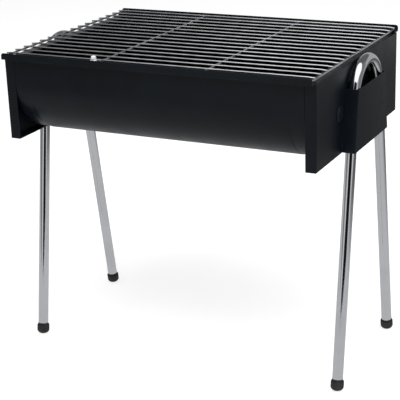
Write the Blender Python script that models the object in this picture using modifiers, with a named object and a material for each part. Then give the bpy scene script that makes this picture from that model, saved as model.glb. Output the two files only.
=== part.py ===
"""Knock-down camp grill: an enamelled fire trough between two pan-shaped end panels, with a
lift-off wire grate. At each end a bent tube makes two splayed legs and, above them, the
carrying bow. It pushes up into a tapered sheet cover on the end panel.

Metres, +Z up, origin on the ground below the middle of the trough.
X runs along the trough (its length), Y across it (front is -Y).
"""

import math

import bmesh
import bpy
from mathutils import Euler, Matrix, Vector

# ---------------------------------------------------------------- driving sizes
LENGTH = 0.520              # over the outer faces of the end panels
DEPTH = 0.360               # over the trough's front and rear walls
PANEL_BOTTOM = 0.3712
PANEL_TOP = 0.501
RIM_TOP = 0.5115
GAP = 0.0003                # clearance between neighbouring pieces
SHEET = 0.0012

FLANGE = 0.017              # inward flanges all round an end panel
TROUGH_BOTTOM = 0.3735
TROUGH_RADIUS = 0.086
RIM_HALF_LENGTH = 0.2585
RIM_OVERHANG = 0.0105
RIM_WIDTH = 0.0165
SHELF_TOP = 0.5043

ROD_COUNT = 16
ROD_RADIUS = 0.0015
ROD_HALF_LENGTH = 0.2575
OUTER_ROD_Y = 0.1755
WIRE_RADIUS = 0.002
WIRE_HALF_LENGTH = 0.183
WIRE_SINK = 0.0005          # how far a rod is pressed into a cross wire by its weld
END_WIRE_X = 0.2552
MIDDLE_WIRE_X = 0.0882

TUBE_RADIUS = 0.0085
TUBE_WALL = 0.001
LEG_X = 0.2705
LEG_SLOPE = 0.1527          # sideways run of a leg for each metre of height
FOOT_Y = 0.1203             # at the centre of the foot's rounded sole
FOOT_SOLE_RADIUS = 0.013
FOOT_RADIUS = 0.0104
FOOT_HEIGHT = 0.0165
FOOT_SIDE = 0.007           # height at which the sole's round meets the foot's side
FOOT_LIP = 0.0008
FOOT_PLUG = 0.006           # distance from the sole's centre up to the tube's end
BOW_APEX_Z = 0.4985         # centreline of the bow's top
BOW_STEPS = 24

COVER_FACE_X = 0.2806
COVER_WALL = 0.001
COVER_BOTTOM = 0.372
COVER_TOP = 0.4664
COVER_HALF_TOP = 0.0618
COVER_HALF_BOTTOM = 0.0754

BOLT_Y = 0.0866
BOLT_Z = 0.4346
BOLT_HEAD_RADIUS = 0.0118
BOLT_HEAD_HEIGHT = 0.0022
BOLT_HEAD_RIM = 0.0008
BOLT_RADIUS = 0.003
BOLT_END = 0.001            # length of thread that shows past the nut
SPACER_RADIUS = 0.0055
NUT_RADIUS = 0.0058
NUT_HEIGHT = 0.005

STOP_X = -0.0958
STOP_Y = -0.1825
STOP_FLANGE_RADIUS = 0.0052
STOP_NECK_Z = 0.0048
STOP_RADIUS = 0.0042
STOP_CROWN_Z = 0.009
STOP_HEIGHT = 0.0125

CUT = 0.01                  # how far a cutting solid runs past the face it opens

# ---------------------------------------------------------------- worked-out sizes
HALF_LENGTH = LENGTH / 2
HALF_DEPTH = DEPTH / 2
TROUGH_HALF = HALF_LENGTH - FLANGE - GAP
TROUGH_TOP = PANEL_TOP
RIM_Y = HALF_DEPTH + RIM_OVERHANG
RIM_BOTTOM = PANEL_TOP + GAP
WIRE_Z = SHELF_TOP + GAP + WIRE_RADIUS
ROD_Z = WIRE_Z + WIRE_RADIUS + ROD_RADIUS - WIRE_SINK
ROD_PITCH = 2 * OUTER_ROD_Y / (ROD_COUNT - 1)
LEG_SPLAY = math.atan(LEG_SLOPE)
LEG_LINE_Y = FOOT_Y + LEG_SLOPE * FOOT_SOLE_RADIUS      # where a leg's axis meets the ground
BOW_RADIUS = (LEG_LINE_Y - LEG_SLOPE * BOW_APEX_Z) / (1 / math.cos(LEG_SPLAY) - LEG_SLOPE)
BOW_CENTRE_Z = BOW_APEX_Z - BOW_RADIUS


# ---------------------------------------------------------------- scene and materials
def clear_scene():
    for obj in list(bpy.data.objects):
        bpy.data.objects.remove(obj, do_unlink=True)


def new_collection(name):
    collection = bpy.data.collections.new(name)
    bpy.context.scene.collection.children.link(collection)
    return collection


def new_material(name, colour, roughness, metallic):
    material = bpy.data.materials.new(name)
    material.use_nodes = True
    shader = material.node_tree.nodes["Principled BSDF"]
    shader.inputs["Base Color"].default_value = (*colour, 1.0)
    shader.inputs["Roughness"].default_value = roughness
    shader.inputs["Metallic"].default_value = metallic
    return material


clear_scene()
PARTS = new_collection("camp_grill")
CUTTERS = new_collection("cutters")
ENAMEL = new_material("black_enamel", (0.016, 0.018, 0.022), 0.32, 0.0)
CHROME = new_material("chromed_steel", (0.62, 0.63, 0.65), 0.12, 1.0)
ZINC = new_material("zinc_plated_steel", (0.45, 0.45, 0.44), 0.35, 1.0)
RUBBER = new_material("black_rubber", (0.018, 0.018, 0.019), 0.75, 0.0)


def add_part(name, mesh, material):
    """Put a mesh in the parts collection as one named object."""
    obj = bpy.data.objects.new(name, mesh)
    mesh.materials.clear()
    mesh.materials.append(material)
    PARTS.objects.link(obj)
    return obj


def add_cutter(name, mesh):
    obj = bpy.data.objects.new(name, mesh)
    obj.hide_render = True
    obj.display_type = "WIRE"
    CUTTERS.objects.link(obj)
    return obj


def boolean(target, tool, operation):
    modifier = target.modifiers.new(f"{operation.lower()}_{tool.name}", "BOOLEAN")
    modifier.operation = operation
    modifier.object = tool
    return modifier


# ---------------------------------------------------------------- shapes
def box_mesh(name, low, high):
    """Axis-aligned box between two corners."""
    bm = bmesh.new()
    bmesh.ops.create_cube(bm, size=1.0)
    size = Vector(high) - Vector(low)
    middle = (Vector(high) + Vector(low)) / 2
    bmesh.ops.scale(bm, vec=size, verts=bm.verts)
    bmesh.ops.translate(bm, vec=middle, verts=bm.verts)
    mesh = bpy.data.meshes.new(name)
    bm.to_mesh(mesh)
    bm.free()
    return mesh


def cylinder_mesh(name, start, end, radius, sides=24):
    """Solid cylinder from start to end."""
    start, end = Vector(start), Vector(end)
    axis = end - start
    bm = bmesh.new()
    bmesh.ops.create_cone(
        bm, cap_ends=True, segments=sides, radius1=radius, radius2=radius, depth=axis.length
    )
    turn = axis.to_track_quat("Z", "Y").to_matrix().to_4x4()
    bmesh.ops.transform(bm, matrix=Matrix.Translation((start + end) / 2) @ turn, verts=bm.verts)
    mesh = bpy.data.meshes.new(name)
    bm.to_mesh(mesh)
    bm.free()
    return mesh


def mesh_from_curve(name, curve):
    """Mesh of a curve object as the viewport shows it, with its caps welded on."""
    holder = bpy.data.objects.new(name + "_curve", curve)
    PARTS.objects.link(holder)
    bpy.context.view_layer.update()
    evaluated = holder.evaluated_get(bpy.context.evaluated_depsgraph_get())
    mesh = bpy.data.meshes.new_from_object(evaluated)
    mesh.name = name
    bpy.data.objects.remove(holder, do_unlink=True)
    bm = bmesh.new()
    bm.from_mesh(mesh)
    bmesh.ops.remove_doubles(bm, verts=bm.verts, dist=1e-6)
    bmesh.ops.recalc_face_normals(bm, faces=bm.faces)
    bm.to_mesh(mesh)
    bm.free()
    return mesh


def outline_mesh(name, outline, low_x, high_x):
    """Solid with a (y, z) outline, running along X from low_x to high_x."""
    curve = bpy.data.curves.new(name, "CURVE")
    curve.dimensions = "2D"
    curve.fill_mode = "BOTH"
    curve.extrude = (high_x - low_x) / 2
    spline = curve.splines.new("POLY")
    spline.points.add(len(outline) - 1)
    for point, (y, z) in zip(spline.points, outline):
        point.co = (y, z, 0.0, 1.0)
    spline.use_cyclic_u = True
    mesh = mesh_from_curve(name, curve)
    stand_up = Euler((math.pi / 2, 0.0, math.pi / 2)).to_matrix().to_4x4()
    mesh.transform(Matrix.Translation(((low_x + high_x) / 2, 0.0, 0.0)) @ stand_up)
    return mesh


def turned_part(name, profile, material, steps, closed=False):
    """Part turned about local Z from an (r, z) profile drawn up its outer side."""
    bm = bmesh.new()
    verts = [bm.verts.new((r, 0.0, z)) for r, z in reversed(profile)]
    for first, second in zip(verts, verts[1:]):
        bm.edges.new((first, second))
    if closed:
        bm.edges.new((verts[-1], verts[0]))
    mesh = bpy.data.meshes.new(name)
    bm.to_mesh(mesh)
    bm.free()
    obj = add_part(name, mesh, material)
    screw = obj.modifiers.new("turn", "SCREW")
    screw.steps = steps
    screw.render_steps = steps
    screw.use_merge_vertices = True
    screw.merge_threshold = 0.00001
    return obj


def arc(centre, radius, start, end, count):
    """Points on an arc in a (y, z) plane, angles in degrees, both ends included."""
    points = []
    for index in range(count + 1):
        angle = math.radians(start + (end - start) * index / count)
        points.append((centre[0] + radius * math.cos(angle), centre[1] + radius * math.sin(angle)))
    return points


# ---------------------------------------------------------------- fire trough
def trough_outline(inset, top):
    """U-shaped section with round lower corners, drawn inset from the outer face."""
    half = HALF_DEPTH - inset
    corner_y = HALF_DEPTH - TROUGH_RADIUS
    corner_z = TROUGH_BOTTOM + TROUGH_RADIUS
    radius = TROUGH_RADIUS - inset
    left = arc((-corner_y, corner_z), radius, 180, 270, 12)
    right = arc((corner_y, corner_z), radius, 270, 360, 12)
    return [(-half, top), *left, *right, (half, top)]


def trough_outline_with_flanges():
    """Outer section, with the top edges folded outward below the rim rails."""
    tip = RIM_Y - SHEET
    under = TROUGH_TOP - SHEET
    body = trough_outline(0.0, under)
    return [(-tip, TROUGH_TOP), (-tip, under), *body, (tip, under), (tip, TROUGH_TOP)]


def build_trough():
    outer = outline_mesh("trough", trough_outline_with_flanges(), -TROUGH_HALF, TROUGH_HALF)
    trough = add_part("trough", outer, ENAMEL)
    inner_half = TROUGH_HALF - SHEET
    outline = trough_outline(SHEET, TROUGH_TOP + CUT)
    hollow = outline_mesh("trough_hollow", outline, -inner_half, inner_half)
    boolean(trough, add_cutter("trough_hollow", hollow), "DIFFERENCE")
    for side in (-1, 1):
        for along in (-1, 1):
            start = (side * (TROUGH_HALF - CUT), along * BOLT_Y, BOLT_Z)
            end = (side * (TROUGH_HALF + CUT), along * BOLT_Y, BOLT_Z)
            name = f"trough_bolt_hole_{side}_{along}"
            hole = add_cutter(name, cylinder_mesh(name, start, end, BOLT_RADIUS + GAP))
            boolean(trough, hole, "DIFFERENCE")


# ---------------------------------------------------------------- end panels
def build_end_panel(name, side):
    """Pan with flanges all round, open towards the trough, and two bolt holes."""
    inner_x = HALF_LENGTH - FLANGE
    low = (min(side * inner_x, side * HALF_LENGTH), -HALF_DEPTH, PANEL_BOTTOM)
    high = (max(side * inner_x, side * HALF_LENGTH), HALF_DEPTH, PANEL_TOP)
    panel = add_part(name, box_mesh(name, low, high), ENAMEL)
    open_x = side * (inner_x - CUT)
    wall_x = side * (HALF_LENGTH - SHEET)
    low = (min(open_x, wall_x), -HALF_DEPTH + SHEET, PANEL_BOTTOM + SHEET)
    high = (max(open_x, wall_x), HALF_DEPTH - SHEET, PANEL_TOP - SHEET)
    hollow = add_cutter(name + "_hollow", box_mesh(name + "_hollow", low, high))
    boolean(panel, hollow, "DIFFERENCE")
    for along in (-1, 1):
        start = (side * (HALF_LENGTH - CUT), along * BOLT_Y, BOLT_Z)
        end = (side * (HALF_LENGTH + CUT), along * BOLT_Y, BOLT_Z)
        hole_name = f"{name}_bolt_hole_{along}"
        hole = add_cutter(hole_name, cylinder_mesh(hole_name, start, end, BOLT_RADIUS + GAP))
        boolean(panel, hole, "DIFFERENCE")


def dome_profile(radius, low, high, angles):
    """Quarter-round crown from its rim up to the axis."""
    crown = []
    for degrees in angles:
        angle = math.radians(degrees)
        crown.append((radius * math.cos(angle), low + (high - low) * math.sin(angle)))
    return [*crown, (0.0, high)]


def build_panel_bolt(name, side, along):
    """Large low-domed bolt through the end panel and the trough's end wall."""
    head_back = HALF_LENGTH + GAP
    shank_end = TROUGH_HALF - SHEET - GAP - NUT_HEIGHT - BOLT_END
    reach = head_back - shank_end
    crown = dome_profile(BOLT_HEAD_RADIUS, BOLT_HEAD_RIM, BOLT_HEAD_HEIGHT, (0, 25, 50, 72))
    shank = [(0.0, -reach), (BOLT_RADIUS, -reach), (BOLT_RADIUS, 0.0)]
    bolt = turned_part(name, [*shank, (BOLT_HEAD_RADIUS, 0.0), *crown], ENAMEL, 24)
    bolt.location = (side * head_back, along * BOLT_Y, BOLT_Z)
    bolt.rotation_euler = (0.0, side * math.pi / 2, 0.0)


def ring_profile(inner, outer, low, high):
    return [(inner, low), (outer, low), (outer, high), (inner, high)]


def build_spacer(name, side, along):
    """Sleeve that keeps the end panel off the hot trough."""
    low_x = TROUGH_HALF + GAP
    high_x = HALF_LENGTH - SHEET - GAP
    profile = ring_profile(BOLT_RADIUS + GAP, SPACER_RADIUS, 0.0, high_x - low_x)
    spacer = turned_part(name, profile, ZINC, 20, closed=True)
    spacer.location = (side * low_x, along * BOLT_Y, BOLT_Z)
    spacer.rotation_euler = (0.0, side * math.pi / 2, 0.0)


def build_nut(name, side, along):
    """Hexagon nut inside the trough."""
    far_x = TROUGH_HALF - SHEET - GAP
    start = (side * (far_x - NUT_HEIGHT), along * BOLT_Y, BOLT_Z)
    end = (side * far_x, along * BOLT_Y, BOLT_Z)
    nut = add_part(name, cylinder_mesh(name, start, end, NUT_RADIUS, sides=6), ZINC)
    bore = cylinder_mesh(
        name + "_bore",
        (side * (far_x - 2 * NUT_HEIGHT), along * BOLT_Y, BOLT_Z),
        (side * (far_x + NUT_HEIGHT), along * BOLT_Y, BOLT_Z),
        BOLT_RADIUS + GAP,
    )
    boolean(nut, add_cutter(name + "_bore", bore), "DIFFERENCE")


# ---------------------------------------------------------------- rim rails
def build_rim_rail(name, side):
    """Folded rail over a long edge: outer lip, shelf for the grate, closed ends, open below."""
    outer = side * RIM_Y
    lip = side * (RIM_Y - SHEET)
    inner = side * (RIM_Y - RIM_WIDTH)
    section = [
        (outer, RIM_BOTTOM),
        (outer, RIM_TOP),
        (lip, RIM_TOP),
        (lip, SHELF_TOP),
        (inner, SHELF_TOP),
        (inner, RIM_BOTTOM),
    ]
    rail = add_part(name, outline_mesh(name, section, -RIM_HALF_LENGTH, RIM_HALF_LENGTH), ENAMEL)
    far, near = sorted((lip, inner + side * SHEET))
    low = (-RIM_HALF_LENGTH + SHEET, far, RIM_BOTTOM - CUT)
    high = (RIM_HALF_LENGTH - SHEET, near, SHELF_TOP - SHEET)
    hollow = add_cutter(name + "_hollow", box_mesh(name + "_hollow", low, high))
    boolean(rail, hollow, "DIFFERENCE")


def build_grate_stop():
    """Domed stud on the front rail that the grate's cross wire stops against."""
    base = [(0.0, 0.0), (STOP_FLANGE_RADIUS, 0.0), (STOP_FLANGE_RADIUS, STOP_NECK_Z)]
    crown = dome_profile(STOP_RADIUS, STOP_CROWN_Z, STOP_HEIGHT, (0, 22, 45, 68))
    profile = [*base, (STOP_RADIUS, STOP_NECK_Z), *crown]
    stop = turned_part("grate_stop", profile, CHROME, 24)
    stop.location = (STOP_X, STOP_Y, SHELF_TOP + GAP)


# ---------------------------------------------------------------- grate
def build_grate():
    """Cross wires with the rods welded on top, joined to one welded piece."""
    wires = []
    for index, x in enumerate((-END_WIRE_X, -MIDDLE_WIRE_X, MIDDLE_WIRE_X, END_WIRE_X)):
        ends = ((x, -WIRE_HALF_LENGTH, WIRE_Z), (x, WIRE_HALF_LENGTH, WIRE_Z))
        wires.append(cylinder_mesh(f"cross_wire_{index}", *ends, WIRE_RADIUS, sides=10))
    rods = []
    for index in range(ROD_COUNT):
        y = -OUTER_ROD_Y + index * ROD_PITCH
        ends = ((-ROD_HALF_LENGTH, y, ROD_Z), (ROD_HALF_LENGTH, y, ROD_Z))
        rods.append(cylinder_mesh(f"rod_{index}", *ends, ROD_RADIUS, sides=8))
    grate = add_part("grate", wires[0], CHROME)
    for mesh in (*wires[1:], *rods):
        boolean(grate, add_cutter(mesh.name, mesh), "UNION")


# ---------------------------------------------------------------- leg frames and feet
def frame_path():
    """Centreline of a leg frame in (y, z): up one leg, round the bow, down the other leg."""
    low = FOOT_SOLE_RADIUS + FOOT_PLUG * math.cos(LEG_SPLAY)
    splay = math.degrees(LEG_SPLAY)
    bow = arc((0.0, BOW_CENTRE_Z), BOW_RADIUS, 180 - splay, splay, BOW_STEPS)
    foot = LEG_LINE_Y - LEG_SLOPE * low
    return [(-foot, low), *bow, (foot, low)]


def build_leg_frame(name, side):
    """One bent tube: two splayed legs and the carrying bow, open at its two lower ends."""
    curve = bpy.data.curves.new(name, "CURVE")
    curve.dimensions = "3D"
    curve.bevel_depth = TUBE_RADIUS
    curve.bevel_resolution = 4
    points = frame_path()
    spline = curve.splines.new("POLY")
    spline.points.add(len(points) - 1)
    for point, (y, z) in zip(spline.points, points):
        point.co = (0.0, y, z, 1.0)
    frame = add_part(name, mesh_from_curve(name, curve), CHROME)
    frame.location = (side * LEG_X, 0.0, 0.0)
    wall = frame.modifiers.new("wall", "SOLIDIFY")
    wall.thickness = TUBE_WALL
    wall.offset = -1.0
    return frame


def build_foot(name, frame, along):
    """Rubber cup over a leg's end; its round sole stands on the ground."""
    splay = math.degrees(LEG_SPLAY)
    sole = []
    for degrees in (0, splay, 2 * splay, 3 * splay, 40):
        angle = math.radians(degrees)
        sole.append((FOOT_SOLE_RADIUS * math.sin(angle), -FOOT_SOLE_RADIUS * math.cos(angle)))
    top = FOOT_HEIGHT - FOOT_SOLE_RADIUS
    bore = TUBE_RADIUS + GAP
    floor = FOOT_PLUG - GAP
    side = [
        (FOOT_RADIUS, FOOT_SIDE - FOOT_SOLE_RADIUS),
        (FOOT_RADIUS, top - FOOT_LIP),
        (FOOT_RADIUS - FOOT_LIP, top),
    ]
    cup = [(bore, top), (bore, floor), (0.0, floor)]
    foot = turned_part(name, [*sole, *side, *cup], RUBBER, 24)
    foot.location = (0.0, along * FOOT_Y, FOOT_SOLE_RADIUS)
    foot.rotation_euler = (along * LEG_SPLAY, 0.0, 0.0)
    foot.parent = frame


# ---------------------------------------------------------------- leg covers
def cover_outline(inset, top, bottom):
    """Tapered outline of a leg cover between two heights, drawn inset from its sides."""
    taper = (COVER_HALF_BOTTOM - COVER_HALF_TOP) / (COVER_TOP - COVER_BOTTOM)
    half_top = COVER_HALF_TOP + taper * (COVER_TOP - top) - inset
    half_bottom = COVER_HALF_TOP + taper * (COVER_TOP - bottom) - inset
    return [(-half_bottom, bottom), (half_bottom, bottom), (half_top, top), (-half_top, top)]


def build_leg_cover(name, side):
    """Sheet cover on the end panel, open above, below and towards the panel."""
    ends = sorted((side * (HALF_LENGTH + GAP), side * COVER_FACE_X))
    outline = cover_outline(0.0, COVER_TOP, COVER_BOTTOM)
    cover = add_part(name, outline_mesh(name, outline, *ends), ENAMEL)
    ends = sorted((side * (HALF_LENGTH - CUT), side * (COVER_FACE_X - COVER_WALL)))
    outline = cover_outline(COVER_WALL, COVER_TOP + CUT, COVER_BOTTOM - CUT)
    hollow = add_cutter(name + "_hollow", outline_mesh(name + "_hollow", outline, *ends))
    boolean(cover, hollow, "DIFFERENCE")


# ---------------------------------------------------------------- assembly
build_trough()
build_rim_rail("rim_rail_front", -1)
build_rim_rail("rim_rail_rear", 1)
build_grate()
build_grate_stop()
for end_name, side in (("left", -1), ("right", 1)):
    build_end_panel(f"end_panel_{end_name}", side)
    build_leg_cover(f"leg_cover_{end_name}", side)
    leg_frame = build_leg_frame(f"leg_frame_{end_name}", side)
    for along_name, along in (("front", -1), ("rear", 1)):
        build_panel_bolt(f"panel_bolt_{end_name}_{along_name}", side, along)
        build_spacer(f"spacer_{end_name}_{along_name}", side, along)
        build_nut(f"nut_{end_name}_{along_name}", side, along)
        build_foot(f"foot_{end_name}_{along_name}", leg_frame, along)
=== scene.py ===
"""Looks for the knock-down camp grill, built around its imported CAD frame. Metres, +Z up."""

import math
import random

import bmesh
import bpy
from mathutils import Matrix, Vector


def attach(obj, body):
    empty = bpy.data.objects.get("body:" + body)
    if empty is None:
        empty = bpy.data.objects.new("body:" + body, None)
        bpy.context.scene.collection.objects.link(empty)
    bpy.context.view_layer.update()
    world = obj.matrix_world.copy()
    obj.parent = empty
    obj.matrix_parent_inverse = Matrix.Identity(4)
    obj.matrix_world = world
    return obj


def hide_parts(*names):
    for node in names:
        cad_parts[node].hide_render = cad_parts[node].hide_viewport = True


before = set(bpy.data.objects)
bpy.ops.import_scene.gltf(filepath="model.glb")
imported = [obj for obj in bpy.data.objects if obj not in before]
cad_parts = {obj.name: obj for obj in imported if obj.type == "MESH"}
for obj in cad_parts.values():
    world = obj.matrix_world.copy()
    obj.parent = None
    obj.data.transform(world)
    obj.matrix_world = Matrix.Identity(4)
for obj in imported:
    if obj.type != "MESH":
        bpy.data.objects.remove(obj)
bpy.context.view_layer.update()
rng = random.Random(7)

# ---------------------------------------------------------------- sizes shared with the CAD
HALF_LENGTH = 0.260
HALF_DEPTH = 0.180
PANEL_BOTTOM = 0.3712
PANEL_TOP = 0.501
FLANGE = 0.017
SHEET = 0.0012
GAP = 0.0003
EDGE = 0.0003                   # round on cut and turned edges
TROUGH_BOTTOM = 0.3735
TROUGH_RADIUS = 0.086
TROUGH_HALF = HALF_LENGTH - FLANGE - GAP
RIM_Y = 0.1905
RIM_HALF_LENGTH = 0.2585
RIM_WIDTH = 0.0165
RIM_BOTTOM = PANEL_TOP + GAP
RIM_TOP = 0.5115
SHELF_TOP = 0.5043
ROD_COUNT = 16
ROD_RADIUS = 0.0015
ROD_HALF_LENGTH = 0.2575
OUTER_ROD_Y = 0.1755
WIRE_RADIUS = 0.002
WIRE_HALF_LENGTH = 0.183
WIRE_Z = SHELF_TOP + GAP + WIRE_RADIUS
WIRE_SINK = 0.0005
ROD_Z = WIRE_Z + WIRE_RADIUS + ROD_RADIUS - WIRE_SINK
END_WIRE_X = 0.2552
MIDDLE_WIRE_X = 0.0882
TUBE_RADIUS = 0.0085
LEG_X = 0.2705
LEG_SLOPE = 0.1527
LEG_SPLAY = math.atan(LEG_SLOPE)
FOOT_Y = 0.1203
FOOT_SOLE_RADIUS = 0.013
FOOT_RADIUS = 0.0104
FOOT_HEIGHT = 0.0165
FOOT_PLUG = 0.006
LEG_LINE_Y = FOOT_Y + LEG_SLOPE * FOOT_SOLE_RADIUS
BOW_APEX_Z = 0.4985
BOW_RADIUS = (LEG_LINE_Y - LEG_SLOPE * BOW_APEX_Z) / (1 / math.cos(LEG_SPLAY) - LEG_SLOPE)
BOW_CENTRE_Z = BOW_APEX_Z - BOW_RADIUS
COVER_FACE_X = 0.2806
COVER_WALL = 0.001
COVER_BOTTOM = 0.372
COVER_TOP = 0.4664
COVER_HALF_TOP = 0.0618
COVER_HALF_BOTTOM = 0.0754
BOLT_Y = 0.0866
BOLT_Z = 0.4346
BOLT_HEAD_RADIUS = 0.0118
BOLT_HEAD_HEIGHT = 0.0022
BOLT_HEAD_RIM = 0.0008
BOLT_RADIUS = 0.003
BOLT_END = 0.001
SPACER_RADIUS = 0.0055
NUT_HEIGHT = 0.005
STOP_X = -0.0958
STOP_Y = -0.1825

ENDS = (("left", -1), ("right", 1))
ALONGS = (("front", -1), ("rear", 1))


# ---------------------------------------------------------------- materials
MAP_SOCKETS = ("From Min", "From Max", "To Min", "To Max")
WORN_COSINES = (0.995, 0.86)        # rounded against true normal: unworn to fully worn
WEAR_SAMPLES = 4
WEAR_WIDTH = 0.0009


class Graph:
    """Small helper to wire one material's nodes."""

    def __init__(self, name, roughness, metallic, specular):
        self.material = bpy.data.materials.new(name)
        self.material.use_nodes = True
        self.tree = self.material.node_tree
        self.shader = self.tree.nodes["Principled BSDF"]
        self.shader.inputs["Roughness"].default_value = roughness
        self.shader.inputs["Metallic"].default_value = metallic
        self.shader.inputs["Specular IOR Level"].default_value = specular
        self.coordinates = self.tree.nodes.new("ShaderNodeTexCoord").outputs["Object"]

    def link(self, output, target):
        self.tree.links.new(output, target)
        return output

    def noise(self, scale, detail=4.0, roughness=0.55, stretch=(1.0, 1.0, 1.0)):
        mapping = self.tree.nodes.new("ShaderNodeMapping")
        mapping.inputs["Scale"].default_value = stretch
        self.link(self.coordinates, mapping.inputs["Vector"])
        node = self.tree.nodes.new("ShaderNodeTexNoise")
        node.inputs["Scale"].default_value = scale
        node.inputs["Detail"].default_value = detail
        node.inputs["Roughness"].default_value = roughness
        self.link(mapping.outputs["Vector"], node.inputs["Vector"])
        return node.outputs["Fac"]

    def remap(self, value, source, target=(0.0, 1.0)):
        """Clamped linear map of a value from the source range to the target range."""
        node = self.tree.nodes.new("ShaderNodeMapRange")
        node.clamp = True
        for socket, number in zip(MAP_SOCKETS, (*source, *target)):
            node.inputs[socket].default_value = number
        self.link(value, node.inputs["Value"])
        return node.outputs["Result"]

    def multiply(self, first, second):
        node = self.tree.nodes.new("ShaderNodeMath")
        node.operation = "MULTIPLY"
        self.link(first, node.inputs[0])
        self.link(second, node.inputs[1])
        return node.outputs["Value"]

    def mix(self, factor, first, second):
        """Colour mix; first and second are colours or outputs."""
        node = self.tree.nodes.new("ShaderNodeMix")
        node.data_type = "RGBA"
        self.link(factor, node.inputs["Factor"])
        for socket, colour in (("A", first), ("B", second)):
            target = [s for s in node.inputs if s.name == socket and s.type == "RGBA"][0]
            if isinstance(colour, tuple):
                target.default_value = (*colour, 1.0)
            else:
                self.link(colour, target)
        return [s for s in node.outputs if s.type == "RGBA"][0]

    def edges(self, radius):
        """1 along worn convex and concave edges, 0 on flats."""
        bevel = self.tree.nodes.new("ShaderNodeBevel")
        bevel.samples = WEAR_SAMPLES
        bevel.inputs["Radius"].default_value = radius
        geometry = self.tree.nodes.new("ShaderNodeNewGeometry")
        dot = self.tree.nodes.new("ShaderNodeVectorMath")
        dot.operation = "DOT_PRODUCT"
        self.link(bevel.outputs["Normal"], dot.inputs[0])
        self.link(geometry.outputs["Normal"], dot.inputs[1])
        return self.remap(dot.outputs["Value"], WORN_COSINES)

    def bump(self, height, distance, strength=1.0):
        node = self.tree.nodes.new("ShaderNodeBump")
        node.inputs["Distance"].default_value = distance
        node.inputs["Strength"].default_value = strength
        self.link(height, node.inputs["Height"])
        self.link(node.outputs["Normal"], self.shader.inputs["Normal"])

    def colour(self, output):
        self.link(output, self.shader.inputs["Base Color"])

    def roughness(self, output):
        self.link(output, self.shader.inputs["Roughness"])


def enamel(name, dark, light, edge, gloss):
    """Stove enamel: orange-peel surface, cloudy gloss, slightly paler worn edges."""
    graph = Graph(name, gloss[0], metallic=0.0, specular=0.15)
    wear_patches = graph.remap(graph.noise(scale=70.0, detail=6.0), (0.38, 0.68), (0.15, 1.0))
    wear = graph.multiply(graph.edges(WEAR_WIDTH), wear_patches)
    clouds = graph.remap(graph.noise(scale=9.0, detail=5.0), (0.35, 0.7))
    graph.colour(graph.mix(wear, graph.mix(clouds, dark, light), edge))
    graph.roughness(graph.remap(graph.noise(scale=26.0, detail=6.0), (0.3, 0.7), gloss))
    orange_peel = graph.noise(scale=900.0, detail=2.0)
    graph.bump(orange_peel, distance=0.00005, strength=0.5)
    return graph.material


def chrome(name, tint, haze, polish, stretch, wave, metallic=1.0):
    """Plating: faint polishing lines, dull handling haze, slightly uneven reflections."""
    graph = Graph(name, polish[0], metallic, specular=0.5)
    smear = graph.noise(scale=14.0, detail=5.0)
    lines = graph.noise(scale=260.0, detail=3.0, stretch=stretch)
    graph.colour(graph.mix(graph.remap(smear, (0.42, 0.72)), tint, haze))
    graph.roughness(graph.remap(lines, (0.3, 0.75), polish))
    graph.bump(graph.noise(scale=34.0, detail=2.0), wave, strength=0.6)
    return graph.material


def zinc(name):
    """Dull zinc plate with a mottled passivated tint."""
    graph = Graph(name, roughness=0.4, metallic=1.0, specular=0.5)
    mottle = graph.remap(graph.noise(scale=160.0, detail=6.0), (0.35, 0.7))
    graph.colour(graph.mix(mottle, ZINC_BRIGHT, ZINC_DULL))
    graph.roughness(graph.remap(graph.noise(scale=90.0), (0.3, 0.7), (0.3, 0.52)))
    graph.bump(graph.noise(scale=700.0, detail=2.0), distance=0.00004, strength=0.5)
    return graph.material


def rubber(name):
    """Matt moulded rubber, dusty where it bulges."""
    graph = Graph(name, roughness=0.7, metallic=0.0, specular=0.35)
    dust = graph.remap(graph.noise(scale=120.0, detail=5.0), (0.4, 0.75))
    graph.colour(graph.mix(dust, RUBBER_CLEAN, RUBBER_DUSTY))
    graph.roughness(graph.remap(graph.noise(scale=80.0), (0.3, 0.7), (0.55, 0.8)))
    graph.bump(graph.noise(scale=1500.0, detail=3.0), distance=0.0001, strength=0.6)
    return graph.material


ENAMEL_DARK = (0.0030, 0.0046, 0.0068)
ENAMEL_LIGHT = (0.0046, 0.0068, 0.0098)
ENAMEL_EDGE = (0.020, 0.023, 0.027)
# The next two colours make the bolt heads a paler copy of the black enamel: painted sheen for the
# light their low domes catch. The second one is for the worn edges, so it is wear and painted
# sheen together.
BOLT_PAINTED_SHEEN = (0.009, 0.011, 0.014)
BOLT_WORN_EDGE_AND_SHEEN = (0.03, 0.03, 0.03)
ZINC_BRIGHT = (0.50, 0.49, 0.46)
ZINC_DULL = (0.36, 0.36, 0.33)
RUBBER_CLEAN = (0.014, 0.014, 0.015)
RUBBER_DUSTY = (0.030, 0.029, 0.027)
DRAWN_UPRIGHT = (1.0, 1.0, 0.03)    # polishing lines stretched along Z
DRAWN_ALONG = (0.04, 1.0, 1.0)      # and along X

# tint, haze, roughness range
TUBE_FINISH = ((0.63, 0.64, 0.67), (0.56, 0.57, 0.60), (0.06, 0.13))
WIRE_FINISH = ((0.64, 0.65, 0.67), (0.48, 0.49, 0.51), (0.16, 0.30))
STUD_FINISH = ((0.86, 0.86, 0.87), (0.78, 0.78, 0.79), (0.34, 0.48))

ENAMEL = enamel("enamel", ENAMEL_DARK, ENAMEL_LIGHT, ENAMEL_EDGE, gloss=(0.30, 0.42))
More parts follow.
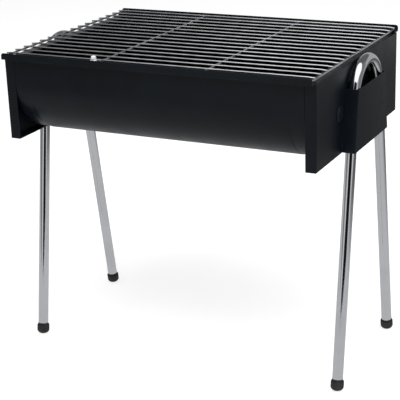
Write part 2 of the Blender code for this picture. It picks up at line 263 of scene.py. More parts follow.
# Paler copy of the enamel for the bolt heads: painted sheen, on worn edges too.
BOLT_PAINTED_SHEEN_ENAMEL = enamel("bolt_enamel_painted_sheen", ENAMEL_LIGHT, BOLT_PAINTED_SHEEN, BOLT_WORN_EDGE_AND_SHEEN, gloss=(0.24, 0.36))
CHROME = chrome("chrome_tube", *TUBE_FINISH, DRAWN_UPRIGHT, wave=0.0002)
WIRE_CHROME = chrome("chrome_wire", *WIRE_FINISH, DRAWN_ALONG, wave=0.0001)
STUD_CHROME = chrome("chrome_stud", *STUD_FINISH, DRAWN_UPRIGHT, wave=0.0001, metallic=0.3)
ZINC = zinc("zinc")
RUBBER = rubber("rubber")


# ---------------------------------------------------------------- mesh helpers
def new_piece(name, bm, material):
    """Turn a bmesh into a shown object with smooth shading split at sharp edges."""
    bmesh.ops.remove_doubles(bm, verts=bm.verts, dist=1e-7)
    bmesh.ops.recalc_face_normals(bm, faces=bm.faces)
    shade(bm)
    mesh = bpy.data.meshes.new(name)
    bm.to_mesh(mesh)
    bm.free()
    mesh.materials.append(material)
    obj = bpy.data.objects.new(name, mesh)
    bpy.context.scene.collection.objects.link(obj)
    return obj


def soften(obj, width, segments=3):
    """Round the remaining sharp edges and keep flats flat."""
    bevel = obj.modifiers.new("round", "BEVEL")
    bevel.width = width
    bevel.segments = segments
    bevel.limit_method = "ANGLE"
    bevel.angle_limit = math.radians(40)
    bevel.harden_normals = True
    return obj


def stand(obj, slot, body, *nodes):
    """Attach a piece to its body in the frame and hide the CAD nodes it stands for; the finish
    (slot) is not used.
    """
    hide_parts(*nodes)
    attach(obj, body)
    return obj


def ring(bm, centre, side, up, radius, count):
    verts = []
    for index in range(count):
        angle = 2 * math.pi * index / count
        offset = side * (math.cos(angle) * radius) + up * (math.sin(angle) * radius)
        verts.append(bm.verts.new(centre + offset))
    return verts


def bridge(bm, first, second, closed=True):
    count = len(first)
    for index in range(count if closed else count - 1):
        after = (index + 1) % count
        bm.faces.new((first[index], first[after], second[after], second[index]))


def lathe(bm, profile, matrix, count):
    """Revolve an (r, z) profile about local Z; ends on the axis are closed with fans."""
    across, up = Vector((1, 0, 0)), Vector((0, 1, 0))
    loops = []
    for r, z in profile:
        if r < 1e-7:
            loops.append([bm.verts.new(matrix @ Vector((0, 0, z)))])
            continue
        loops.append(ring(bm, Vector((0, 0, z)), across, up, r, count))
        for vert in loops[-1]:
            vert.co = matrix @ vert.co
    for first, second in zip(loops, loops[1:]):
        if len(first) == 1 and len(second) == 1:
            continue
        if len(first) == 1 or len(second) == 1:
            tip, rim = (first[0], second) if len(first) == 1 else (second[0], first)
            for index in range(len(rim)):
                bm.faces.new((tip, rim[index], rim[(index + 1) % len(rim)]))
            continue
        bridge(bm, first, second)


TIP_STEPS = ((0.0, 0.55), (0.35, 0.86), (1.0, 1.0))     # share of the tip's length and radius


def tube(bm, path, radius, count, tip=0.3):
    """Round bar along a list of points, its ends domed over tip times the radius."""
    tangents = []
    for index in range(len(path)):
        before = path[max(index - 1, 0)]
        after = path[min(index + 1, len(path) - 1)]
        tangents.append((after - before).normalized())
    side = tangents[0].orthogonal().normalized()
    loops = []
    for index, (point, tangent) in enumerate(zip(path, tangents)):
        side = (side - tangent * side.dot(tangent)).normalized()
        up = tangent.cross(side)
        if index in (0, len(path) - 1):
            inward = tangent if index == 0 else -tangent
            steps = TIP_STEPS if index == 0 else TIP_STEPS[::-1]
            for shift, share in steps:
                centre = point + inward * radius * shift * tip
                loops.append(ring(bm, centre, side, up, radius * share, count))
            continue
        loops.append(ring(bm, point, side, up, radius, count))
    for first, second in zip(loops, loops[1:]):
        bridge(bm, first, second)
    bm.faces.new(loops[0])
    bm.faces.new(loops[-1])


def prism(bm, outline, low_x, high_x):
    """Closed (y, z) outline run along X."""
    first = [bm.verts.new((low_x, y, z)) for y, z in outline]
    second = [bm.verts.new((high_x, y, z)) for y, z in outline]
    bridge(bm, first, second)
    bm.faces.new(first)
    bm.faces.new(second)


def arc(centre, radius, start, end, count):
    points = []
    for index in range(count + 1):
        angle = math.radians(start + (end - start) * index / count)
        points.append((centre[0] + radius * math.cos(angle), centre[1] + radius * math.sin(angle)))
    return points


def fillet(points, radii, count=5):
    """Round the corners of an open or closed (y, z) polyline; a radius of 0 keeps the corner."""
    result = []
    total = len(points)
    for index, radius in enumerate(radii):
        here = Vector(points[index])
        before = Vector(points[index - 1])
        after = Vector(points[(index + 1) % total])
        if radius <= 0:
            result.append(tuple(here))
            continue
        a = (before - here).normalized()
        b = (after - here).normalized()
        half = a.angle(b) / 2
        reach = radius / math.tan(half)
        start = here + a * reach
        end = here + b * reach
        middle = here + (a + b).normalized() * (radius / math.sin(half))
        for step in range(count + 1):
            share = step / count
            point = start.lerp(end, share) - middle
            result.append(tuple(middle + point.normalized() * radius))
    return result


def smooth_step(share):
    share = min(max(share, 0.0), 1.0)
    return share * share * (3 - 2 * share)


def shade(bm, smooth_angle=35.0):
    """Smooth shading, split at sharp edges."""
    limit = math.radians(smooth_angle)
    for face in bm.faces:
        face.smooth = True
    for edge in bm.edges:
        edge.smooth = len(edge.link_faces) == 2 and edge.calc_face_angle(0.0) < limit


# ---------------------------------------------------------------- fire trough
CREASE_X = 0.2155               # the trough's ends are pressed in past this line
CREASE_WIDTH = 0.0035
CREASE_DEPTH = 0.0007
CREASE_FADE = 40.0              # degrees round the lower corner over which the press comes in
TROUGH_BEND = 0.0009
BEND_STEPS = 6
WALL_STEPS = 8
FLOOR_STEPS = 8
CORNER_STEPS = 28
CREASE_STEPS = 6
END_STATIONS = (0.232, 0.2225)  # between the crease and the trough's end
MID_START = 0.20                # evenly spaced stations from here to the middle
MID_SPACING = 0.025
MID_COUNT = 8


def trough_corner(inset, press):
    """The rear lower corner's (y, z) points, from the floor up to the wall."""
    points = []
    for index in range(CORNER_STEPS + 1):
        degrees = 90.0 * (1 - index / CORNER_STEPS)
        radius = TROUGH_RADIUS - inset - press * smooth_step(degrees / CREASE_FADE)
        angle = math.radians(degrees)
        y = HALF_DEPTH - TROUGH_RADIUS + radius * math.cos(angle)
        points.append((y, TROUGH_BOTTOM + TROUGH_RADIUS - radius * math.sin(angle)))
    return points


def trough_section(inset, press):
    """U-shaped section drawn inset from the outer face, its round part pressed in further."""
    rear = trough_corner(inset, press)
    wall_low = TROUGH_BOTTOM + TROUGH_RADIUS
    for index in range(1, WALL_STEPS + 1):
        rear.append((HALF_DEPTH - inset, wall_low + (PANEL_TOP - wall_low) * index / WALL_STEPS))
    flat = rear[0][0]
    floor = []
    for index in range(1, FLOOR_STEPS):
        floor.append((-flat + 2 * flat * index / FLOOR_STEPS, rear[0][1]))
    front = [(-y, z) for y, z in reversed(rear)]
    return [*front, *floor, *rear]


def trough_stations():
    """X positions along one half of the trough, from its end towards the middle."""
    crease = []
    for step in range(CREASE_STEPS, -1, -1):
        crease.append(CREASE_X + CREASE_WIDTH * step / CREASE_STEPS)
    return [*END_STATIONS, *crease, *[MID_START - MID_SPACING * step for step in range(MID_COUNT)]]


def press_at(x):
    return CREASE_DEPTH * smooth_step((abs(x) - CREASE_X) / CREASE_WIDTH)


def build_trough():
    """Pressed pan: rounded end bends, a crease near each end and flanges under the rim rails."""
    half = trough_stations()
    inner_xs = [*[-x for x in half], 0.0, *reversed(half)]
    bend = []
    for step in range(BEND_STEPS + 1):
        angle = math.pi / 2 * step / BEND_STEPS
        x = TROUGH_HALF - TROUGH_BEND * (1 - math.cos(angle))
        bend.append((x, TROUGH_BEND * (1 - math.sin(angle))))
    bend.sort()
    outer = [(-x, inset) for x, inset in reversed(bend)] + [(x, 0.0) for x in inner_xs] + bend
    bm = bmesh.new()
    outside = []
    for x, inset in outer:
        section = trough_section(inset, press_at(x))
        outside.append([bm.verts.new((x, y, z)) for y, z in section])
    inside = []
    for x in (-TROUGH_HALF + SHEET, *inner_xs, TROUGH_HALF - SHEET):
        section = trough_section(SHEET, press_at(x))
        inside.append([bm.verts.new((x, y, z)) for y, z in section])
    for loops in (outside, inside):
        for first, second in zip(loops, loops[1:]):
            bridge(bm, first, second, closed=False)
        bm.faces.new(loops[0])
        bm.faces.new(loops[-1])
    rim = [edge for edge in bm.edges if len(edge.link_faces) == 1]
    bmesh.ops.bridge_loops(bm, edges=rim)
    for side in (-1, 1):
        low, high = sorted((side * (HALF_DEPTH - SHEET / 2), side * (RIM_Y - SHEET)))
        under = PANEL_TOP - SHEET
        outline = [(low, under), (high, under), (high, PANEL_TOP), (low, PANEL_TOP)]
        prism(bm, outline, -TROUGH_HALF, TROUGH_HALF)
    stand(new_piece("fire_trough_shell", bm, ENAMEL), "black_enamel", "base", "trough")


# ---------------------------------------------------------------- end panels
PANEL_FOLD = 0.0011


def folded_sheet(name, bm, face_x, side, fold_radius, thickness, edge_radius):
    """Open sheet bent at its outer face: rounded folds, thickness inwards, softened edges."""
    bmesh.ops.recalc_face_normals(bm, faces=bm.faces)
    middle = max(bm.faces, key=lambda face: abs(face.calc_center_median().x))
    if middle.normal.x * side < 0:
        bmesh.ops.reverse_faces(bm, faces=bm.faces)
    folds = []
    for edge in bm.edges:
        at_face = all(abs(vert.co.x) > face_x - GAP / 2 for vert in edge.verts)
        if len(edge.link_faces) == 2 and at_face:
            folds.append(edge)
    bmesh.ops.bevel(bm, geom=folds, offset=fold_radius, segments=5, affect="EDGES", profile=0.5)
    shade(bm)
    mesh = bpy.data.meshes.new(name)
    bm.to_mesh(mesh)
    bm.free()
    mesh.materials.append(ENAMEL)
    obj = bpy.data.objects.new(name, mesh)
    bpy.context.scene.collection.objects.link(obj)
    shell = obj.modifiers.new("sheet", "SOLIDIFY")
    shell.thickness = thickness
    shell.offset = -1.0
    shell.use_even_offset = True
    return soften(obj, edge_radius, 2)


def build_end_panel(name, side):
    """Pressed pan: flat face, rounded folds, flanges turned in towards the trough."""
    bm = bmesh.new()
    inner_x = HALF_LENGTH - FLANGE
    low = [(-HALF_DEPTH, PANEL_BOTTOM), (HALF_DEPTH, PANEL_BOTTOM)]
    corners = [*low, (HALF_DEPTH, PANEL_TOP), (-HALF_DEPTH, PANEL_TOP)]
    face = [bm.verts.new((side * HALF_LENGTH, y, z)) for y, z in corners]
    edge = [bm.verts.new((side * inner_x, y, z)) for y, z in corners]
    bm.faces.new(face)
    bridge(bm, face, edge)
    panel = folded_sheet(f"{name}_pan", bm, HALF_LENGTH, side, PANEL_FOLD, SHEET, EDGE)
    stand(panel, "black_enamel", "base", name)


# ---------------------------------------------------------------- rim rails
LIP_CORNER = 0.0045             # round at the two ends of the lip
LIP_CORNER_STEPS = 8
HEM = 0.0004                    # extra thickness of the lip, whose edge is folded over
LIP_ROUND = 0.0007
LIP_ROOT = 0.0008
INNER_FOLD = 0.0014
RAIL_EDGE = 0.00025


def rail_outline(side):
    """Section of a folded rail: hemmed lip, shelf for the grate, turned-down inner edge."""
    lip = RIM_Y - SHEET
    inner = RIM_Y - RIM_WIDTH
    section = [
        (RIM_Y, RIM_BOTTOM),
        (RIM_Y, RIM_TOP),
        (lip - HEM, RIM_TOP),
        (lip - HEM, SHELF_TOP),
        (inner, SHELF_TOP),
        (inner, RIM_BOTTOM),
        (inner + SHEET, RIM_BOTTOM),
        (inner + SHEET, SHELF_TOP - SHEET),
        (lip, SHELF_TOP - SHEET),
        (lip, RIM_BOTTOM),
    ]
    radii = [0.0, LIP_ROUND, LIP_ROUND, LIP_ROOT, INNER_FOLD, 0.0, 0.0, 0.0, 0.0, 0.0]
    return [(side * y, z) for y, z in fillet(section, radii)]


def build_rim_rail(name, side):
    outline = rail_outline(side)
    bm = bmesh.new()
    stations = []
    for step in range(LIP_CORNER_STEPS + 1):
        angle = math.pi / 2 * step / LIP_CORNER_STEPS
        x = RIM_HALF_LENGTH - LIP_CORNER * (1 - math.sin(angle))
        stations.append((x, RIM_TOP - LIP_CORNER * (1 - math.cos(angle))))
    stations = [(-x, top) for x, top in reversed(stations)] + stations
    loops = []
    for x, top in stations:
        cut_top = max(top, SHELF_TOP - GAP / 3)
        points = [(x, y, min(z, cut_top) if z > SHELF_TOP else z) for y, z in outline]
        loops.append([bm.verts.new(point) for point in points])
    for first, second in zip(loops, loops[1:]):
        bridge(bm, first, second)
    bm.faces.new(loops[0])
    bm.faces.new(loops[-1])
    cap_outer = RIM_HALF_LENGTH - GAP / 6
    cap_inner = RIM_HALF_LENGTH - SHEET
    for sign in (-1, 1):
        low_x, high_x = sorted((sign * cap_outer, sign * cap_inner))
        low = RIM_Y - RIM_WIDTH + SHEET * 0.7
        high = RIM_Y - SHEET * 0.7
        top = SHELF_TOP - SHEET * 0.8
        corners = [(low, RIM_BOTTOM), (high, RIM_BOTTOM), (high, top), (low, top)]
        prism(bm, [(side * y, z) for y, z in corners], low_x, high_x)
    rail = soften(new_piece(f"{name}_folded", bm, ENAMEL), RAIL_EDGE, 2)
    stand(rail, "black_enamel", "base", name)


# ---------------------------------------------------------------- grate
NUGGET_RADIUS = 0.0014
END_WIRE_RADIUS = 0.0015
END_NUGGET_RADIUS = 0.0010
NUGGET_SPREAD = 0.0002          # how much the weld lumps differ
NUGGET_FLATTEN = 0.6
ROD_STEPS = 100
ROD_SIDES = 14
WIRE_STEPS = 6
WIRE_SIDES = 16
ROD_SHIFT = 0.00018             # how far a rod may be off its place
ROD_SWAY = 0.00012
SWAY_TURN = 0.9                 # radians of sway from one step of a rod to the next
TIP_START = 0.246               # where a rod's tip begins to bend down
TIP_DROP = 0.0009
END_INSET = 0.0001              # keeps the wirework's domed ends within the CAD's length


def weld_nugget(bm, x, y, z, size):
    """Small flattened lump where a rod is welded to a cross wire."""
    place = Matrix.Translation((x, y, z)) @ Matrix.Diagonal((1.0, 1.0, NUGGET_FLATTEN, 1.0))
    place = place @ Matrix.Rotation(rng.uniform(0, math.pi), 4, "Z")
    radius = size + rng.uniform(0, NUGGET_SPREAD)
    bmesh.ops.create_icosphere(bm, subdivisions=2, radius=radius, matrix=place)


def build_grate():
    """Rods with a faint sway on four cross wires, every crossing welded."""
    bm = bmesh.new()
    pitch = 2 * OUTER_ROD_Y / (ROD_COUNT - 1)
    reach = ROD_HALF_LENGTH - END_INSET
    rod_ys = []
    for index in range(ROD_COUNT):
        y = -OUTER_ROD_Y + index * pitch + rng.uniform(-ROD_SHIFT, ROD_SHIFT)
        rod_ys.append(y)
        points = []
        for step in range(ROD_STEPS + 1):
            x = -reach + 2 * reach * step / ROD_STEPS
            sway = ROD_SWAY * math.sin(SWAY_TURN * step + index)
            sag = TIP_DROP * smooth_step((abs(x) - TIP_START) / (reach - TIP_START))
            points.append(Vector((x, y + sway, ROD_Z - sag)))
        tube(bm, points, ROD_RADIUS, ROD_SIDES)
    reach = WIRE_HALF_LENGTH - END_INSET
    middle = (MIDDLE_WIRE_X, WIRE_RADIUS, NUGGET_RADIUS)
    end = (END_WIRE_X, END_WIRE_RADIUS, END_NUGGET_RADIUS)
    for across, radius, nugget in (middle, end):
        z = WIRE_Z - WIRE_RADIUS + radius
        for x in (-across, across):
            points = []
            for step in range(WIRE_STEPS + 1):
                points.append(Vector((x, -reach + 2 * reach * step / WIRE_STEPS, z)))
            tube(bm, points, radius, WIRE_SIDES)
            for y in rod_ys:
                weld_nugget(bm, x, y, z + 0.6 * radius, nugget)
    bmesh.ops.recalc_face_normals(bm, faces=bm.faces)
    shade(bm, 60.0)
    mesh = bpy.data.meshes.new("grate_wirework")
    bm.to_mesh(mesh)
    bm.free()
    mesh.materials.append(WIRE_CHROME)
    grate = bpy.data.objects.new("grate_wirework", mesh)
    bpy.context.scene.collection.objects.link(grate)
    stand(grate, "chromed_wire", "grate", "grate")


def dome(radius, low, high, step):
    """Quarter-round crown, in (r, z), from just above its rim to the axis."""
    points = []
    for degrees in range(step, 90, step):
        angle = math.radians(degrees)
        points.append((radius * math.cos(angle), low + (high - low) * math.sin(angle)))
    return [*points, (0.0, high)]


STOP_FLANGE = ((0.0, 0.0), (0.0050, 0.0), (0.0052, 0.0002), (0.0052, 0.0059), (0.0049, 0.0063))
STOP_WAIST = ((0.0032, 0.0063), (0.0031, 0.0065), (0.0031, 0.0077), (0.0033, 0.0079))
STOP_HEAD = ((0.0040, 0.0080), (0.0042, 0.0083), (0.0039, 0.0103), (0.0034, 0.0119))
STOP_SIDES = 40
STOP_CROWN = ((0.0029, 0.0124), (0.0022, 0.0125), (0.0, 0.0125))


def build_grate_stop():
    """Flanged stud with a waist and a flat-topped, slightly tapered head."""
    bm = bmesh.new()
    place = Matrix.Translation((STOP_X, STOP_Y, SHELF_TOP + GAP))
    lathe(bm, [*STOP_FLANGE, *STOP_WAIST, *STOP_HEAD, *STOP_CROWN], place, STOP_SIDES)
    stand(new_piece("grate_stop_stud", bm, STUD_CHROME), "chromed_steel", "base", "grate_stop")


# ---------------------------------------------------------------- leg frames and feet
LEG_STEPS = 24
BOW_STEPS = 56
TUBE_SIDES = 64
TUBE_TIP = 0.1
FOOT_SIDES = 48
SOLE_DEGREES = (13, 17, 22, 27, 32, 37, 41)     # round the sole, past the flat of the splay
FOOT_WALL = ((0.0096, 0.0045), (0.01015, 0.0057), (FOOT_RADIUS, 0.0070))
GROOVE_LOW = 0.0042             # both measured down from the foot's top
GROOVE_HIGH = 0.0030
LIP_DROP = 0.0010
LIP_WIDTH = 0.0009


def build_leg_frame(name, side):
    """One bent tube: up one leg, round the carrying bow and down the other leg."""
    low = FOOT_SOLE_RADIUS + FOOT_PLUG * math.cos(LEG_SPLAY)
    splay = math.degrees(LEG_SPLAY)
    bow = arc((0.0, BOW_CENTRE_Z), BOW_RADIUS, 180 - splay, splay, BOW_STEPS)
    foot_y = LEG_LINE_Y - LEG_SLOPE * low
    start, end = Vector((-foot_y, low)), Vector(bow[0])
    leg = [start.lerp(end, step / LEG_STEPS) for step in range(LEG_STEPS)]
    other = [Vector((-point.x, point.y)) for point in reversed(leg)]
    route = [*leg, *[Vector(point) for point in bow], *other]
    bm = bmesh.new()
    points = [Vector((side * LEG_X, point.x, point.y)) for point in route]
    tube(bm, points, TUBE_RADIUS, TUBE_SIDES, TUBE_TIP)
    stand(new_piece(f"{name}_tube", bm, CHROME), "chromed_steel", f"{name}_assembly", name)


def build_foot(name, body, side, along):
    """Rubber cup with a round sole, a moulded groove and a rounded lip."""
    sole = [(0.0, -FOOT_SOLE_RADIUS)]
    splay = math.degrees(LEG_SPLAY)
    for degrees in (splay / 3, splay * 2 / 3, splay, *SOLE_DEGREES):
        angle = math.radians(degrees)
        sole.append((FOOT_SOLE_RADIUS * math.sin(angle), -FOOT_SOLE_RADIUS * math.cos(angle)))
    top = FOOT_HEIGHT - FOOT_SOLE_RADIUS
    lip = FOOT_RADIUS - EDGE
    bore = TUBE_RADIUS + GAP
    wall = [(radius, z - FOOT_SOLE_RADIUS) for radius, z in FOOT_WALL]
    low, high = top - GROOVE_LOW, top - GROOVE_HIGH
    groove = [(FOOT_RADIUS, low), (lip, low + EDGE), (lip, high - EDGE), (FOOT_RADIUS, high)]
    rim = [(FOOT_RADIUS, top - LIP_DROP), (lip, top - EDGE), (FOOT_RADIUS - LIP_WIDTH, top)]
    floor = FOOT_PLUG - GAP
    cup = [(bore + EDGE, top), (bore, top - EDGE), (bore, floor), (0.0, floor)]
    place = Matrix.Translation((side * LEG_X, along * FOOT_Y, FOOT_SOLE_RADIUS))
    place = place @ Matrix.Rotation(along * LEG_SPLAY, 4, "X")
    bm = bmesh.new()
    lathe(bm, [*sole, *wall, *groove, *rim, *cup], place, FOOT_SIDES)
    stand(new_piece(f"rubber_{name}", bm, RUBBER), "black_rubber", body, name)


# ---------------------------------------------------------------- leg covers
def build_leg_cover(name, side):
    """Folded tapered channel on the end panel, open above and below."""
    bm = bmesh.new()
    inner_x = side * (HALF_LENGTH + GAP)
    outer_x = side * COVER_FACE_X
    rows = []
    for z, half in ((COVER_BOTTOM, COVER_HALF_BOTTOM), (COVER_TOP, COVER_HALF_TOP)):
        corners = ((inner_x, -half), (outer_x, -half), (outer_x, half), (inner_x, half))
        rows.append([bm.verts.new((x, y, z)) for x, y in corners])
    bridge(bm, rows[0], rows[1], closed=False)
    sheet = (PANEL_FOLD, COVER_WALL, EDGE)
    cover = folded_sheet(f"{name}_channel", bm, COVER_FACE_X, side, *sheet)
    stand(cover, "black_enamel", "base", name)


# ---------------------------------------------------------------- fasteners
BOLT_SIDES = 56
DOME_STEP = 8                   # degrees
SPACER_SIDES = 36


def build_bolt(name, side, along):
    """Low-domed head on a plain shank with a chamfered end."""
    shank_end = TROUGH_HALF - SHEET - GAP - NUT_HEIGHT - BOLT_END
    low = shank_end - HALF_LENGTH - GAP
    shank = [(0.0, low), (BOLT_RADIUS - EDGE, low), (BOLT_RADIUS, low + EDGE), (BOLT_RADIUS, 0.0)]
    head = BOLT_HEAD_RADIUS
    rim = [(head - EDGE, 0.0), (head, EDGE), (head, BOLT_HEAD_RIM)]
    crown = dome(head, BOLT_HEAD_RIM, BOLT_HEAD_HEIGHT, DOME_STEP)
    place = Matrix.Translation((side * (HALF_LENGTH + GAP), along * BOLT_Y, BOLT_Z))
    place = place @ Matrix.Rotation(side * math.pi / 2, 4, "Y")
    bm = bmesh.new()
    lathe(bm, [*shank, *rim, *crown], place, BOLT_SIDES)
    # The heads get the paler enamel copy, a painted sheen.
    stand(new_piece(f"{name}_dome", bm, BOLT_PAINTED_SHEEN_ENAMEL), "black_bolt", "base", name)


def build_spacer(name, side, along):
    """Sleeve between the end panel and the trough, its edges broken."""
    low_x = TROUGH_HALF + GAP
    length = HALF_LENGTH - SHEET - GAP - low_x
    bore = BOLT_RADIUS + GAP
    outside = [(SPACER_RADIUS - EDGE, 0.0), (SPACER_RADIUS, EDGE), (SPACER_RADIUS, length - EDGE)]
    inside = [(bore + EDGE, length), (bore, length - EDGE), (bore, EDGE), (bore + EDGE, 0.0)]
    profile = [*outside, (SPACER_RADIUS - EDGE, length), *inside, outside[0]]
    place = Matrix.Translation((side * low_x, along * BOLT_Y, BOLT_Z))
    place = place @ Matrix.Rotation(side * math.pi / 2, 4, "Y")
    bm = bmesh.new()
    lathe(bm, profile, place, SPACER_SIDES)
    stand(new_piece(f"{name}_sleeve", bm, ZINC), "zinc_plated_steel", "base", name)


def dress_nuts():
    """The CAD's hexagon nuts are kept, with rounded corners and zinc plate."""
    for name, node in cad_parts.items():
        if name.startswith("nut_"):
            node.data.materials.clear()
            node.data.materials.append(ZINC)
            soften(node, EDGE, 2)


build_trough()
build_grate()
build_grate_stop()
build_rim_rail("rim_rail_front", -1)
build_rim_rail("rim_rail_rear", 1)
for end_name, side in ENDS:
    leg_frame = f"leg_frame_{end_name}"
    build_end_panel(f"end_panel_{end_name}", side)
    build_leg_cover(f"leg_cover_{end_name}", side)
    build_leg_frame(leg_frame, side)
    for along_name, along in ALONGS:
        place_name = f"{end_name}_{along_name}"
        build_foot(f"foot_{place_name}", f"{leg_frame}_assembly", side, along)
        build_bolt(f"panel_bolt_{place_name}", side, along)
        build_spacer(f"spacer_{place_name}", side, along)
dress_nuts()


# ---------------------------------------------------------------- camera
AZIMUTH = math.radians(27.0003)
ELEVATION = math.radians(19.5311)
ROLL = math.radians(-2.0493)
CAMERA_PLACE = Vector((0.871618, -1.746294, 0.931905))
LENS = 112.056
SENSOR = 36.0


def add_camera():
    data = bpy.data.cameras.new("camera")
    data.sensor_width = SENSOR
    data.lens = LENS
    data.clip_start = 0.05
    camera = bpy.data.objects.new("camera", data)
    bpy.context.scene.collection.objects.link(camera)
    flat = math.cos(ELEVATION)
    back = Vector((math.sin(AZIMUTH) * flat, -math.cos(AZIMUTH) * flat, math.sin(ELEVATION)))
    right = Vector((math.cos(AZIMUTH), math.sin(AZIMUTH), 0.0))
    up = back.cross(right)
    tilted_right = right * math.cos(ROLL) + up * math.sin(ROLL)
    tilted_up = up * math.cos(ROLL) - right * math.sin(ROLL)
    turn = Matrix((tilted_right, tilted_up, back)).transposed()
    camera.matrix_world = Matrix.Translation(CAMERA_PLACE) @ turn.to_4x4()
    bpy.context.scene.camera = camera


# ---------------------------------------------------------------- studio
FLOOR_REACH = 30.0
FLOOR_GREY = (0.55, 0.55, 0.55, 1.0)
FLOOR_GLOW = 0.77
WORLD_GLOW = 0.16
BACKDROP_GLOW = 1.05
TENT_RADIUS = 2.6
TENT_BOTTOM = -0.7
TENT_ZONES = (
    # name, azimuth from and to in degrees, top, brightness
    ("dark_behind_camera", 1.0, 53.0, 3.0, 0.012),
    ("strip_left", -24.0, 1.0, 3.0, 0.75),
    ("strip_right", 53.0, 78.0, 3.0, 0.75),
    ("side_left", -100.0, -24.0, 3.0, 0.26),
    ("side_right", 78.0, 130.0, 3.0, 0.26),
    ("behind_grill", 130.0, 260.0, 1.7, 0.50),
)
REFLECTOR_REACH = 1.0
REFLECTOR_FRONT = 0.66
REFLECTOR_REAR = 0.15
REFLECTOR_FADE = (0.40, 1.30)
REFLECTOR_DIRECTION = (0.62, 0.78, 0.0)
REFLECTOR_DROP = 0.001          # just under the floor
OVERHEAD_Z = 2.1
OVERHEAD_FADE = (-1.25, -0.45)
OVERHEAD_LEFT = 0.22
OVERHEAD_RIGHT = 1.75
OVERHEAD_REACH = 2.2
OVERHEAD_FRONT = -1.7
OVERHEAD_REAR = 0.4
TENT_STEPS = 12
KEY_PLACE = (0.8, -1.0, 3.0)
KEY_TARGET = (0.0, 0.0, 0.2)
KEY_SIZE = 3.0
KEY_POWER = 130.0


def emitter(name, strength):
    """Glowing neutral material; returns it with its strength socket."""
    material = bpy.data.materials.new(name)
    material.use_nodes = True
    tree = material.node_tree
    tree.nodes.clear()
    output = tree.nodes.new("ShaderNodeOutputMaterial")
    emission = tree.nodes.new("ShaderNodeEmission")
    emission.inputs["Strength"].default_value = strength
    tree.links.new(emission.outputs["Emission"], output.inputs["Surface"])
    return material, emission.inputs["Strength"]


def fading_emitter(name, direction, fade, near, far):
    """Emitter whose strength runs from near to far along a direction of the floor plan."""
    material, strength = emitter(name, near)
    tree = material.node_tree
    place = tree.nodes.new("ShaderNodeTexCoord")
    along = tree.nodes.new("ShaderNodeVectorMath")
    along.operation = "DOT_PRODUCT"
    along.inputs[1].default_value = direction
    ramp = tree.nodes.new("ShaderNodeMapRange")
    ramp.interpolation_type = "SMOOTHSTEP"
    for socket, number in zip(MAP_SOCKETS, (*fade, near, far)):
        ramp.inputs[socket].default_value = number
    tree.links.new(place.outputs["Object"], along.inputs[0])
    tree.links.new(along.outputs["Value"], ramp.inputs["Value"])
    tree.links.new(ramp.outputs["Result"], strength)
    return material


def stage_piece(name, verts, faces, material, camera, glossy, diffuse=False):
    """Studio piece seen only by the kinds of ray that are asked for; it casts no shadow."""
    mesh = bpy.data.meshes.new(name)
    mesh.from_pydata(verts, [], faces)
    mesh.materials.append(material)
    obj = bpy.data.objects.new(name, mesh)
    obj.visible_camera = camera
    obj.visible_glossy = glossy
    obj.visible_diffuse = diffuse
    obj.visible_shadow = False
    bpy.context.scene.collection.objects.link(obj)
    return obj


def flat_rectangle(low_x, low_y, high_x, high_y, z):
    return [(low_x, low_y, z), (high_x, low_y, z), (high_x, high_y, z), (low_x, high_y, z)]


def build_floor():
    """White floor: mostly self-lit, so that the shadows on it stay faint."""
    material = bpy.data.materials.new("studio_floor")
    material.use_nodes = True
    shader = material.node_tree.nodes["Principled BSDF"]
    shader.inputs["Base Color"].default_value = FLOOR_GREY
    shader.inputs["Roughness"].default_value = 1.0
    shader.inputs["Specular IOR Level"].default_value = 0.0
    shader.inputs["Emission Color"].default_value = (1.0, 1.0, 1.0, 1.0)
    shader.inputs["Emission Strength"].default_value = FLOOR_GLOW
    reach = FLOOR_REACH
    floor = flat_rectangle(-reach, -reach, reach, reach, 0.0)
    stage_piece("studio_floor", floor, [(0, 1, 2, 3)], material, True, False, True)
    glow = (REFLECTOR_FADE, REFLECTOR_FRONT, REFLECTOR_REAR)
    fade = fading_emitter("floor_reflector", REFLECTOR_DIRECTION, *glow)
    floor = flat_rectangle(
        -TENT_RADIUS, -REFLECTOR_REACH, TENT_RADIUS, TENT_RADIUS, -REFLECTOR_DROP
    )
    stage_piece("floor_reflector", floor, [(0, 1, 2, 3)], fade, False, True)


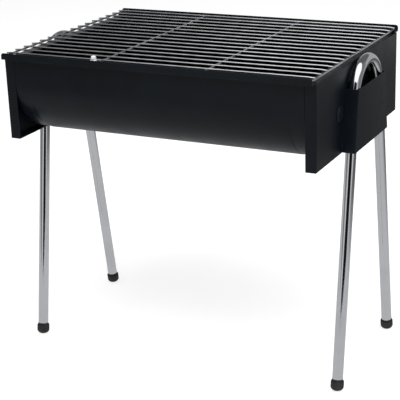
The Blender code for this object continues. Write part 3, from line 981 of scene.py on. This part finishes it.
def build_tent():
    """Upright curved cards round the grill, seen only in reflections."""
    for name, start, end, top, brightness in TENT_ZONES:
        verts = []
        for z in (TENT_BOTTOM, top):
            for step in range(TENT_STEPS + 1):
                angle = math.radians(start + (end - start) * step / TENT_STEPS)
                verts.append((TENT_RADIUS * math.sin(angle), -TENT_RADIUS * math.cos(angle), z))
        faces = []
        for step in range(TENT_STEPS):
            faces.append((step, step + 1, step + TENT_STEPS + 2, step + TENT_STEPS + 1))
        stage_piece(name, verts, faces, emitter(name, brightness)[0], False, True)


def build_backdrop():
    """White all round for the camera only."""
    bm = bmesh.new()
    bmesh.ops.create_icosphere(bm, subdivisions=3, radius=FLOOR_REACH)
    verts = [tuple(vert.co) for vert in bm.verts]
    faces = [tuple(vert.index for vert in face.verts) for face in bm.faces]
    bm.free()
    stage_piece("backdrop", verts, faces, emitter("backdrop", BACKDROP_GLOW)[0], True, False)


def build_overhead():
    """Softbox above, brighter to the right, for the wires' and the bow's highlights."""
    glow = (OVERHEAD_FADE, OVERHEAD_LEFT, OVERHEAD_RIGHT)
    fade = fading_emitter("overhead", (1.0, 0.0, 0.0), *glow)
    corners = flat_rectangle(
        -OVERHEAD_REACH, OVERHEAD_FRONT, OVERHEAD_REACH, OVERHEAD_REAR, OVERHEAD_Z
    )
    stage_piece("overhead", corners, [(0, 1, 2, 3)], fade, False, True)


def build_key_light():
    """Soft light that lights the floor and the rubber but isn't mirrored."""
    data = bpy.data.lights.new("key", "AREA")
    data.shape = "SQUARE"
    data.size = KEY_SIZE
    data.energy = KEY_POWER
    light = bpy.data.objects.new("key", data)
    light.location = KEY_PLACE
    aim = Vector(KEY_TARGET) - Vector(KEY_PLACE)
    light.rotation_euler = aim.to_track_quat("-Z", "Y").to_euler()
    light.visible_camera = False
    light.visible_glossy = False
    bpy.context.scene.collection.objects.link(light)


def build_studio():
    world = bpy.data.worlds.new("studio")
    bpy.context.scene.world = world
    world.use_nodes = True
    background = world.node_tree.nodes["Background"]
    background.inputs["Color"].default_value = (1.0, 1.0, 1.0, 1.0)
    background.inputs["Strength"].default_value = WORLD_GLOW
    build_floor()
    build_tent()
    build_backdrop()
    build_overhead()
    build_key_light()


add_camera()
build_studio()
bpy.context.scene.view_settings.view_transform = "Standard"
